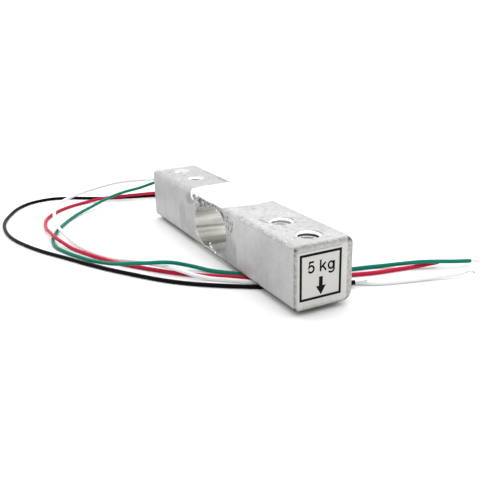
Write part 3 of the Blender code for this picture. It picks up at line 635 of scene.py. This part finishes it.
def strands(colour, points):
    """The stripped end: seven twisted strands that fan a little at the tip."""
    end = (points[-1] - DATUM) / MM
    inward = (points[-2] - points[-1]).normalized() * 0.35
    tip = [end + inward] + [end + Vector(step) for step in TIPS[colour]]
    spine = [p + DATUM for p in smooth_route(tip, 0.09, F - 0.2)]
    bm = bmesh.new()
    rnd = random.Random(colour)
    total = sum((b - a).length for a, b in zip(spine, spine[1:]))
    tube_into(bm, spine, 0.062 * MM, 6)
    tangent = (spine[1] - spine[0]).normalized()
    normal = tangent.orthogonal().normalized()
    frames = []
    for i in range(len(spine)):
        new = (spine[min(i + 1, len(spine) - 1)] - spine[max(i - 1, 0)]).normalized()
        normal = (tangent.rotation_difference(new) @ normal).normalized()
        tangent = new
        frames.append((normal.copy(), tangent.cross(normal)))
    for k in range(6):
        phase = 2 * math.pi * k / 6
        spread = rnd.uniform(0.6, 1.5)
        stop = len(spine) - rnd.randint(0, 2)
        path = []
        run = 0.0
        for i in range(stop):
            if i:
                run += (spine[i] - spine[i - 1]).length
            a = phase + run / (2.2 * MM) * 2 * math.pi
            flare = max(0.0, run / total - 0.72) / 0.28
            r = (0.118 + 0.05 * spread * flare * flare) * MM
            n, o = frames[i]
            path.append(spine[i] + (n * math.cos(a) + o * math.sin(a)) * r)
        tube_into(bm, path, 0.058 * MM, 6)
    return make("strands_" + colour, bm, TINNED, 60.0)


for colour in ("white", "green", "red", "black"):
    wire, points, length = lead(colour)
    tip = strands(colour, points)
    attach(wire, "root")
    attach(tip, "root")
    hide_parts("lead_" + colour)
    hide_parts("bare_end_" + colour)

# ------------------------------------------------------------------ the carried-over nodes
for name, mat in (("beam_body", METAL), ("rating_label", FILM),
                  ("solder_terminal_top", BOARD), ("solder_terminal_bottom", BOARD),
                  ("jumper_wire_a", ENAMEL), ("jumper_wire_b", ENAMEL),
                  ("strain_gauge_top_fixed_side", FOIL), ("strain_gauge_top_load_side", FOIL),
                  ("strain_gauge_bottom_fixed_side", FOIL), ("strain_gauge_bottom_load_side", FOIL)):
    for slot in NODES[name].material_slots:
        slot.material = mat

# ------------------------------------------------------------------ screw threads


def thread(name, x, major, pitch, phase, root_shade, dim=0.35):
    """A sleeve whose inner wall is the tapped hole's helix; x is in the row frame."""
    outer = major / 2
    depth = 0.54 * pitch
    lead_in = 0.10
    tall = BAR_SIDE / MM
    rows = int((tall - 2 * lead_in) / pitch * 12)
    sides = 56
    bm = bmesh.new()
    grid = []
    for j in range(rows + 1):
        z = lead_in + (tall - 2 * lead_in) * j / rows
        edge = min(z, tall - z)
        ring = []
        for i in range(sides):
            a = 2 * math.pi * i / sides
            t = z / pitch - i / sides + phase
            saw = abs(2 * (t - math.floor(t)) - 1)
            fill = min(max((saw - 0.16) / 0.62, 0.0), 1.0)
            r = max(outer - depth * fill, outer + lead_in - edge)
            ring.append(bm.verts.new((x * MM + r * math.cos(a) * MM, r * math.sin(a) * MM, z * MM)))
        grid.append(ring)
    shell = []
    for z in (lead_in, tall - lead_in):
        shell.append([bm.verts.new((x * MM + (outer + 0.04) * math.cos(2 * math.pi * i / sides) * MM,
                                    (outer + 0.04) * math.sin(2 * math.pi * i / sides) * MM, z * MM))
                      for i in range(sides)])
    rows_all = [shell[0]] + grid + [shell[1]]
    for a, b in zip(rows_all, rows_all[1:]):
        for i in range(sides):
            j = (i + 1) % sides
            bm.faces.new((a[i], a[j], b[j], b[i]))
    for i in range(sides):
        j = (i + 1) % sides
        bm.faces.new((shell[0][j], shell[0][i], shell[1][i], shell[1][j]))
    obj = make(name, bm, thread_metal(name, x, outer, depth, root_shade, dim), 50.0)
    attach(obj, "root")
    return obj


thread("thread_load_outer", 59.0, 5.0, 0.8, 0.115, 0.95, 0.2)
thread("thread_load_inner", 49.0, 5.0, 0.8, 0.145, 0.20, 0.15)
thread("thread_fixed_inner", 5.0, 4.0, 0.7, 0.10, 0.25, 0.2)
thread("thread_fixed_outer", -5.0, 4.0, 0.7, 0.30, 0.0, 0.0)

# ------------------------------------------------------------------ burrs at the opening's -Y mouth


def burr_lip(bm, cx, start, stop, reach, proud, seed):
    """A ragged curl of metal along part of one circle of the mouth."""
    steps = max(8, int(abs(stop - start) / 1.5))
    y_face = -HALF / MM
    rings = []
    for k in range(steps + 1):
        t = k / steps
        a = math.radians(start + (stop - start) * t)
        n = noise.noise(Vector((seed, t * 9.0, 0.0)))
        swell = math.sin(math.pi * t) ** 0.6
        r_in = EYE_R + 0.12 - (reach * (0.75 + 0.9 * n)) * swell
        r_out = EYE_R + 0.24
        y_lip = y_face - proud * (0.5 + 0.9 * abs(n)) * swell
        ring = []
        for r, y in ((r_out, y_face + 0.10), (r_out, y_face - 0.02), (r_in, y_lip - 0.02), (r_in - 0.03, y_lip + 0.05)):
            ring.append(Vector((cx + r * math.cos(a), y, 6.35 + r * math.sin(a))) * MM)
        rings.append(ring)
    skin_loft(bm, rings)


def sliver(bm, root, tip, width, bend, tilt=0.0):
    """A thin pointed shaving from root to tip, in X and Z on the -Y mouth; tilt turns it up."""
    a, b = Vector((root[0], 0, root[1])), Vector((tip[0], 0, tip[1]))
    across = (b - a).cross(Vector((0, 1, 0))).normalized()
    rings = []
    for k in range(7):
        t = k / 6
        p = a.lerp(b, t) + across * bend * math.sin(math.pi * t)
        w = width * (1 - t) ** 0.6 / 2 + 0.015
        y = -HALF / MM - 0.02 - 0.12 * math.sin(math.pi * t * 0.8)
        lean = tilt * (1 - t) ** 0.6
        rings.append([Vector((p.x + across.x * s, y + d, p.z + across.z * s)) * MM
                      for s, d in ((w, lean), (-w, -lean), (-w, 0.07 - lean), (w, 0.07 + lean))])
    skin_loft(bm, rings)


half_pitch = EYE_PITCH / 2
bright = bmesh.new()
burr_lip(bright, EYE_X - half_pitch, 212, 227, 0.12, 0.05, 1.3)
for start, stop, r_root, r_tip, width in ((228, 235, 5.20, 4.95, 0.40), (236, 240, 5.05, 5.25, 0.34),
                                          (241, 248, 5.25, 4.95, 0.46), (249, 254, 5.10, 5.30, 0.36),
                                          (255, 261, 5.34, 5.08, 0.42), (262, 270, 5.25, 5.40, 0.36)):
    ends = [(EYE_X + half_pitch + r * math.cos(math.radians(a)), 6.35 + r * math.sin(math.radians(a)))
            for a, r in ((start, r_root), (stop, r_tip))]
    sliver(bright, *ends, width, 0.04, 0.17)
for root, tip, width, bend in (((20.6, 10.75), (21.9, 10.05), 0.22, 0.10), ((21.2, 11.05), (23.0, 10.30), 0.20, -0.08),
                               ((20.2, 10.1), (21.2, 9.45), 0.18, 0.06), ((23.8, 11.75), (25.0, 11.05), 0.18, 0.08),
                               ((31.6, 11.70), (33.0, 10.9), 0.20, 0.05)):
    sliver(bright, root, tip, width, bend)
bmesh.ops.translate(bright, vec=DATUM, verts=bright.verts)
burrs = make("mouth_burrs", bright, BURR, 35.0)
# near-black slivers along the mouth's ragged edge: burr shapes painted dark, a painted shade for the shaded burrs and
# the gaps between them
dark = bmesh.new()
for root, tip, width, bend in (((21.3, 11.35), (23.7, 11.10), 0.46, 0.10), ((21.3, 10.55), (24.5, 10.85), 0.42, -0.12),
                               ((21.9, 10.05), (23.9, 10.45), 0.34, 0.08), ((20.2, 10.05), (21.0, 9.55), 0.26, 0.03),
                               ((25.2, 11.60), (26.0, 10.70), 0.40, -0.05), ((33.8, 11.72), (35.5, 10.55), 0.42, 0.12),
                               ((25.5, 1.62), (27.0, 2.25), 0.42, 0.10), ((27.1, 1.75), (28.9, 3.10), 0.40, -0.10),
                               ((26.6, 1.50), (28.2, 2.35), 0.30, 0.06), ((28.6, 1.72), (30.1, 0.98), 0.24, 0.05)):
    sliver(dark, root, tip, width, bend)
bmesh.ops.translate(dark, vec=DATUM, verts=dark.verts)
shade_slivers = make("mouth_shade_slivers", dark, SHADE_SLIVER, 35.0)
for piece in (burrs, shade_slivers):
    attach(piece, "root")

# ------------------------------------------------------------------ silicone


def skin_z(y, up):
    """Height of the bar's upper (up) or lower skin at y, in millimetres."""
    half, side = HALF / MM, BAR_SIDE / MM
    r = R_NEG / MM if y < 0 else (R_TOP / MM if up else R_LOW / MM)
    reach = abs(y) - (half - r)
    drop = 0.0
    if reach > 0:
        drop = r - math.sqrt(max(r * r - min(reach, r) ** 2, 0.0))
    return side - drop if up else drop


def closed_curve(points, count):
    """Even points on a smooth closed curve through 2-D points."""
    pts = [Vector((p[0], p[1], 0.0)) for p in points]
    n = len(pts)
    dense = []
    for i in range(n):
        p0, p1, p2, p3 = pts[i - 1], pts[i], pts[(i + 1) % n], pts[(i + 2) % n]
        for k in range(16):
            t = k / 16
            dense.append(0.5 * ((2 * p1) + (p2 - p0) * t + (2 * p0 - 5 * p1 + 4 * p2 - p3) * t * t
                                + (3 * p1 - p0 - 3 * p2 + p3) * t * t * t))
    dense.append(dense[0].copy())
    run = [0.0]
    for a, b in zip(dense, dense[1:]):
        run.append(run[-1] + (b - a).length)
    out, k = [], 0
    for i in range(count):
        s = run[-1] * i / count
        while k < len(run) - 2 and run[k + 1] < s:
            k += 1
        f = (s - run[k]) / max(run[k + 1] - run[k], 1e-9)
        out.append(dense[k].lerp(dense[k + 1], f))
    return out


def patch(bm, outline, height, up, seed, steps=26, count=200):
    """A domed coat over the bar's skin; it dips 0.25 mm into the metal."""
    edge = closed_curve(outline, count)
    xs = [p.x for p in edge]
    lo, hi = min(xs) + 6.0, max(xs) - 6.0
    sign = 1.0 if up else -1.0
    rings = []

    def at(p, k):
        q = Vector((min(max(p.x, lo), hi), 0.0, 0.0))
        return p.lerp(q, k)

    for k in range(steps + 1):
        share = (k / steps) ** 1.4 * 0.985
        ring = []
        for p in edge:
            q = at(p, share)
            inside = (p - q).length
            # by the fixed end: a thin lip over the terminal strip, and then a gentle rise
            flat = min(max((19.5 - p.x) / 2.5, 0.0), 1.0)
            lip = 0.36 * flat * (1 - math.exp(-inside / 0.22))
            dome = (1 - 0.36 * flat) * (1 - math.exp(-inside / (0.55 + 1.9 * flat)))
            rise_by = height * (lip + dome) * (0.86 + 0.14 * min(inside / 5.0, 1.0))
            bumpy = noise.noise(Vector((q.x * 0.33 + seed, q.y * 0.33, 0.0))) * 0.10
            rise_by *= 1 + bumpy
            ring.append(Vector((q.x, q.y, skin_z(q.y, up) + sign * rise_by)) * MM)
        rings.append(ring)
    under = []
    for ring in rings:
        under.append([Vector((p.x, p.y, (skin_z(p.y / MM, up) - sign * 0.25) * MM)) for p in ring])
    skin_loft(bm, list(reversed(rings)) + under)


def block(bm, x0, x1, section, swell=0.0, steps=16):
    """Push a closed Y-Z outline along X with rounded ends."""
    cy = sum(p[0] for p in section) / len(section)
    cz = sum(p[1] for p in section) / len(section)
    rings = []
    for k in range(steps + 1):
        t = k / steps
        e = min(t, 1 - t) * (x1 - x0)
        round_off = 0.0 if e > 0.7 else 1 - math.sqrt(max(1 - (1 - e / 0.7) ** 2, 0.0))
        ring = []
        for y, z in section:
            dy, dz = y - cy, z - cz
            far = math.hypot(dy, dz)
            trim = 0.55 * round_off / max(far, 1e-6)
            wave = swell * noise.noise(Vector((x0 + t * (x1 - x0), y * 0.5, z * 0.5)))
            grow = 1 - trim + wave / max(far, 1e-6)
            ring.append(Vector((x0 + t * (x1 - x0), cy + dy * grow, cz + dz * grow)) * MM)
        rings.append(ring)
    skin_loft(bm, rings)


def silicone_body():
    bm = bmesh.new()
    patch(bm, [(16.4, 6.42), (15.5, 4.0), (15.1, 2.2), (15.05, 0.0), (15.1, -2.2), (15.9, -4.9),
               (16.9, -6.12), (20.0, -6.16), (25.0, -6.18), (30.0, -6.14), (33.8, -6.1), (35.0, -5.6),
               (35.9, -3.2), (36.4, -0.2), (36.5, 2.0), (36.1, 4.2), (35.4, 6.2), (32.0, 6.3),
               (26.0, 6.35), (20.0, 6.42)], 0.86, True, 1.7)
    patch(bm, [(16.0, 5.6), (15.2, 3.0), (14.95, 0.0), (15.15, -2.7), (16.4, -5.0), (22.0, -5.2),
               (29.0, -5.1), (34.4, -4.9), (35.4, -3.0), (35.6, 0.0), (35.3, 2.6), (34.4, 4.1),
               (28.0, 4.3), (21.0, 4.4), (18.4, 5.4)], 0.70, False, 5.3)
    # the bead that holds the four wires on the +Y face
    bead = []
    for sy, sz, start in ((1, 1, 0), (-1, 1, 90), (-1, -1, 180), (1, -1, 270)):
        r = 0.75 if sy > 0 else 0.2     # soft outside, hidden inside the bar's skin
        oy = (7.80 - r) if sy > 0 else (6.0 + r)
        oz = 6.2 + sz * (4.55 - r)
        for i in range(7):
            a = math.radians(start + 90 * i / 6)
            bead.append((oy + r * math.cos(a), oz + r * math.sin(a)))
    block(bm, 8.6, 18.1, bead, 0.22, 30)
    # the strap round the +Y side, from the upper coat to the lower one
    outer, inner = [], []
    for off, keep in ((0.92, outer), (-0.22, inner)):
        keep.append((3.2, BAR_SIDE / MM + off * 0.9))
        for oz, r, start in ((BAR_SIDE / MM - R_TOP / MM, R_TOP / MM, 90), (R_LOW / MM, R_LOW / MM, 0)):
            for i in range(9):
                a = math.radians(start - 90 * i / 8)
                keep.append((HALF / MM - r + (r + off * 1.25) * math.cos(a), oz + (r + off * 0.9) * math.sin(a)))
        keep.append((3.2, -off * 0.8))
    rings = []
    for k in range(13):
        t = k / 12
        e = min(t, 1 - t) * 2.9
        lift = 1.0 if e > 0.6 else math.sqrt(max(1 - (1 - e / 0.6) ** 2, 0.0)) * 0.75 + 0.25
        x = 15.4 + 2.9 * t
        ring, base = [], []
        for (oy, oz), (iy, iz) in zip(outer, inner):
            # low where it lies on the upper face, and starting later there
            on_top = min(max((iz - 10.9) / 1.4, 0.0), 1.0)
            own = lift * (1 - 0.22 * on_top)
            late = x + 0.55 * (1 - t) * on_top
            ring.append(Vector((late, iy + (oy - iy) * own, iz + (oz - iz) * own)) * MM)
            base.append(Vector((late, iy, iz)) * MM)
        ring += reversed(base)
        rings.append(ring)
    skin_loft(bm, rings)
    # a small collar where each wire comes out of the bead
    for z in (9.4, 7.2, 5.0, 2.8):
        tube_into(bm, [Vector((9.4, 7.05, z)) * MM, Vector((8.7, 7.08, z)) * MM,
                       Vector((8.35, 7.1, z)) * MM, Vector((7.95, 7.1, z)) * MM,
                       Vector((7.7, 7.1, z)) * MM],
                  lambda t: (0.82 - 0.30 * t) * MM, 16)
    # stray threads of silicone that hang over the -Y edge
    for path, width in (([(17.3, -5.5, 13.15), (17.9, -6.2, 13.0), (18.3, -6.62, 12.55),
                          (18.5, -6.70, 11.9), (18.9, -6.66, 11.3), (19.3, -6.58, 10.95)], 0.26),
                        ([(20.3, -5.7, 13.1), (20.9, -6.35, 12.85), (21.3, -6.66, 12.45),
                          (21.9, -6.62, 12.2)], 0.20)):
        tube_into(bm, smooth_route(path, 0.2, -5.0), width * MM, 10)
    bmesh.ops.translate(bm, vec=DATUM, verts=bm.verts)
    obj = make("silicone_seal", bm, SILICONE)
    voxel = obj.modifiers.new("fuse", "REMESH")
    voxel.mode = "VOXEL"
    voxel.voxel_size = 0.15 * MM
    relax = obj.modifiers.new("relax", "SMOOTH")
    relax.factor = 0.5
    relax.iterations = 5
    applied(obj)
    obj.data.shade_smooth()
    return obj


def bar_outline(offset, steps=10):
    points = []
    for y, z, r, start in ((HALF, BAR_SIDE, R_TOP, 0), (-HALF, BAR_SIDE, R_NEG, 90),
                           (-HALF, 0.0, R_NEG, 180), (HALF, 0.0, R_LOW, 270)):
        cy = y - math.copysign(r, y)
        cz = z - r if z > HALF else z + r
        for i in range(steps + 1):
            a = math.radians(start + 90.0 * i / steps)
            points.append((cy + (r + offset) * math.cos(a), cz + (r + offset) * math.sin(a)))
    return points


seal = silicone_body()
core = bmesh.new()
skin_loft(core, [[Vector((x, y, z)) for y, z in bar_outline(-0.03 * MM)] for x in (5.0 * MM, 40.0 * MM)])
core = make("bar_core", core, None)
cut = seal.modifiers.new("seat", "BOOLEAN")
cut.operation = "DIFFERENCE"
cut.object = core
cut.solver = "EXACT"
applied(seal)
seal.data.shade_smooth()
seal.data.set_sharp_from_angle(angle=math.radians(50))
bpy.data.objects.remove(core, do_unlink=True)
if not seal.data.materials:
    seal.data.materials.append(SILICONE)
for slot in seal.material_slots:
    slot.material = SILICONE
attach(seal, "root")
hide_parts("sealant_top", "sealant_bottom", "sealant_bead")

# ------------------------------------------------------------------ label print
PRINT_X = 64.67     # millimetres in the row frame, the film's outer face
PRINT_THICK = 0.012


def slab(bm, outline):
    """A thin flat shape on the film from a Y-Z outline in millimetres."""
    near = [bm.verts.new((PRINT_X * MM, y * MM, z * MM)) for y, z in outline]
    far = [bm.verts.new(((PRINT_X + PRINT_THICK) * MM, y * MM, z * MM)) for y, z in outline]
    bm.faces.new(near)
    bm.faces.new(list(reversed(far)))
    for i in range(len(near)):
        j = (i + 1) % len(near)
        bm.faces.new((near[j], near[i], far[i], far[j]))


def ribbon(bm, path, width, loop=False):
    """A flat pen stroke of one width along a Y-Z path in millimetres."""
    pts = [Vector((y, z)) for y, z in path]
    n = len(pts)
    rings = []
    for i, p in enumerate(pts):
        if loop:
            before, after = pts[i - 1], pts[(i + 1) % n]
        else:
            before, after = pts[max(i - 1, 0)], pts[min(i + 1, n - 1)]
        d_in = (p - before).normalized() if (p - before).length > 1e-9 else (after - p).normalized()
        d_out = (after - p).normalized() if (after - p).length > 1e-9 else d_in
        mid = (d_in + d_out).normalized()
        across = Vector((-mid.y, mid.x))
        reach = width / 2 / max(mid.dot(d_out), 0.45)
        a, b = p + across * reach, p - across * reach
        x0, x1 = PRINT_X, PRINT_X + PRINT_THICK
        rings.append([Vector((x, q.x, q.y)) * MM for x, q in ((x0, a), (x0, b), (x1, b), (x1, a))])
    skin_loft(bm, rings, closed=loop)


def arc(cy, cz, ry, rz, start, stop, steps=18):
    return [(cy + ry * math.cos(math.radians(start + (stop - start) * i / steps)),
             cz + rz * math.sin(math.radians(start + (stop - start) * i / steps)))
            for i in range(steps + 1)]


def label_print():
    bm = bmesh.new()
    y0, y1, z0, z1 = -5.32, 3.34, 2.27, 10.92
    ribbon(bm, [(y0, z0), (y1, z0), (y1, z1), (y0, z1)], 0.50, loop=True)
    slab(bm, [(-1.36, 6.32), (-1.36, 4.50), (-2.00, 4.50), (-0.90, 2.70), (0.16, 4.50),
              (-0.54, 4.50), (-0.54, 6.32)])
    # generic rated load: a plain number and its unit, in single pen strokes
    pen = 0.37
    ribbon(bm, [(-2.53, 9.46), (-3.42, 9.46), (-3.60, 8.46)] + arc(-3.12, 8.12, 0.60, 0.64, 140, -155), pen)
    ribbon(bm, [(-1.05, 7.34), (-1.05, 9.62)], pen)
    ribbon(bm, [(-0.93, 8.02), (0.06, 8.98)], pen)
    ribbon(bm, [(-0.60, 8.40), (0.16, 7.36)], pen)
    ribbon(bm, arc(1.24, 8.17, 0.56, 0.68, 0, 340, 24), pen, loop=True)
    ribbon(bm, [(1.90, 8.96), (1.90, 7.30)] + arc(1.30, 7.26, 0.60, 0.50, -6, -150, 14), pen)
    obj = make("label_print", bm, INK, 30.0)
    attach(obj, "root")


label_print()

# ------------------------------------------------------------------ stage and light
stage_mesh = bmesh.new()
bmesh.ops.create_grid(stage_mesh, x_segments=1, y_segments=1, size=3.0)
floor_look = Look("stage_white", (0.85, 0.85, 0.85), 0.7)
floor_look.set("Specular IOR Level", 0.1)
floor = make("floor", stage_mesh, floor_look.mat)
floor.location = (0, 0, FLOOR_Z)

world = bpy.data.worlds.new("studio")
bpy.context.scene.world = world
world.use_nodes = True


def studio_sky(tree):
    """A bright white wall behind the bar and a bright ceiling; dimmer behind the camera."""
    new, link = tree.nodes.new, tree.links.new
    where = new("ShaderNodeTexCoord").outputs["Generated"]

    def along(direction):
        node = new("ShaderNodeVectorMath")
        node.operation = "DOT_PRODUCT"
        node.inputs[1].default_value = direction
        link(where, node.inputs[0])
        return node.outputs["Value"]

    def ramp(value, low, high, a, b):
        node = new("ShaderNodeMapRange")
        node.interpolation_type = "SMOOTHSTEP"
        link(value, node.inputs["Value"])
        for key, number in (("From Min", low), ("From Max", high), ("To Min", a), ("To Max", b)):
            node.inputs[key].default_value = number
        return node.outputs["Result"]

    wall = ramp(along((-0.892, 0.452, 0.0)), SKY["wall_from"], SKY["wall_to"], SKY["room"], SKY["wall"])
    ceiling = ramp(along((0.0, 0.0, 1.0)), 0.12, 0.80, 0.0, SKY["ceiling"])
    total = new("ShaderNodeMath")
    total.operation = "ADD"
    link(wall, total.inputs[0])
    link(ceiling, total.inputs[1])
    link(total.outputs[0], tree.nodes["Background"].inputs["Color"])


SKY = {"room": 0.34, "wall": 1.18, "wall_from": -0.30, "wall_to": 0.80, "ceiling": 1.30}
studio_sky(world.node_tree)
world.node_tree.nodes["Background"].inputs["Strength"].default_value = 1.0

scene = bpy.context.scene
scene.view_settings.view_transform = "Standard"
scene.view_settings.look = "None"
scene.view_settings.exposure = 0.0
scene.view_settings.gamma = 1.0
